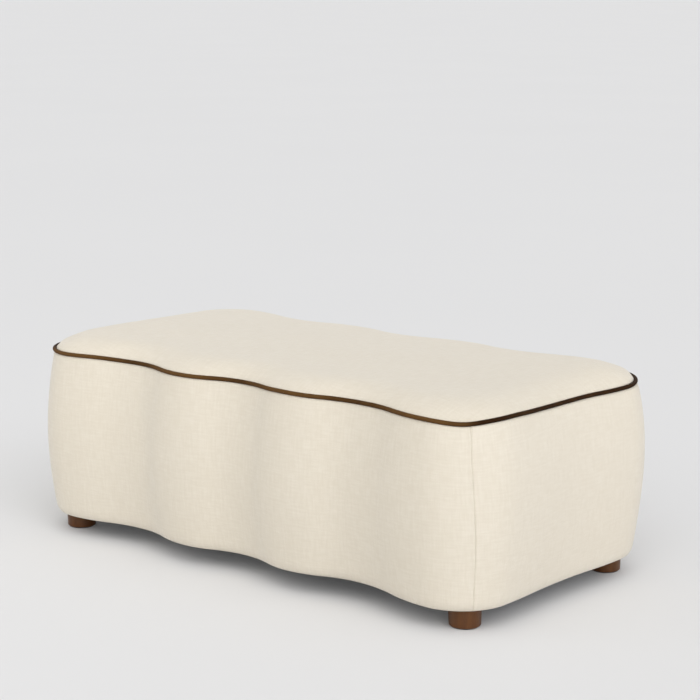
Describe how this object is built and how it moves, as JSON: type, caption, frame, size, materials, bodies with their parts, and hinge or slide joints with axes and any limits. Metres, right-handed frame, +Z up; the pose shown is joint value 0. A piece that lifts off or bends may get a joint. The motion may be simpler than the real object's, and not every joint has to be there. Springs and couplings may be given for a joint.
{
  "type": "ottoman coffee table",
  "caption": "Low upholstered ottoman coffee table with scalloped long sides, a crowned top, dark piping round the top edge and short round wooden feet.",
  "frame": {"origin": "on the floor, under the middle of the body", "axes": "+X along the length, -Y towards the front long side, +Z up"},
  "size_m": [1.1594, 0.612, 0.4045],
  "materials": {
    "cover_linen": "cream linen-look weave, matt",
    "piping_cloth": "dark brown, low sheen",
    "filler_cord": "white cotton cord",
    "foot_wood": "dark brown stain, satin lacquer",
    "felt": "brown felt",
    "dust_cloth": "black non-woven, matt",
    "foam": "open-cell foam",
    "wadding": "white polyester wadding",
    "bending_plywood": "raw veneer",
    "plywood": "raw birch plywood",
    "pine": "planed softwood",
    "steel": "zinc plated"
  },
  "bodies": {
    "root": {"back_bottom_rail": "plywood", "back_cover": "cover_linen", "back_foam": "foam", "back_left_foot": "foot_wood", "back_left_foot_block": "plywood", "back_left_post": "pine", "back_left_upright": "pine", "back_middle_upright": "pine", "back_right_foot": "foot_wood", "back_right_foot_block": "plywood", "back_right_post": "pine", "back_right_upright": "pine", "back_skin": "bending_plywood", "back_wadding": "wadding", "base_screws": "steel", "cross_rail_screws": "steel", "deck_screws": "steel", "dust_cover": "dust_cloth", "foot_block_screws": "steel", "foot_pads": "felt", "front_bottom_rail": "plywood", "front_cover": "cover_linen", "front_foam": "foam", "front_left_foot": "foot_wood", "front_left_foot_block": "plywood", "front_left_post": "pine", "front_left_upright": "pine", "front_middle_upright": "pine", "front_right_foot": "foot_wood", "front_right_foot_block": "plywood", "front_right_post": "pine", "front_right_upright": "pine", "front_skin": "bending_plywood", "front_wadding": "wadding", "hanger_bolts": "steel", "hem_staples": "steel", "insert_nuts": "steel", "left_bottom_rail": "plywood", "left_cover": "cover_linen", "left_cross_rail": "pine", "left_end_upright": "pine", "left_foam": "foam", "left_skin": "bending_plywood", "left_wadding": "wadding", "piping_cord": "filler_cord", "piping_cover": "piping_cloth", "right_bottom_rail": "plywood", "right_cover": "cover_linen", "right_cross_rail": "pine", "right_end_upright": "pine", "right_foam": "foam", "right_skin": "bending_plywood", "right_wadding": "wadding", "top_cover": "cover_linen", "top_deck": "plywood", "top_foam": "foam", "top_wadding": "wadding"}
  },
  "joints": []
}
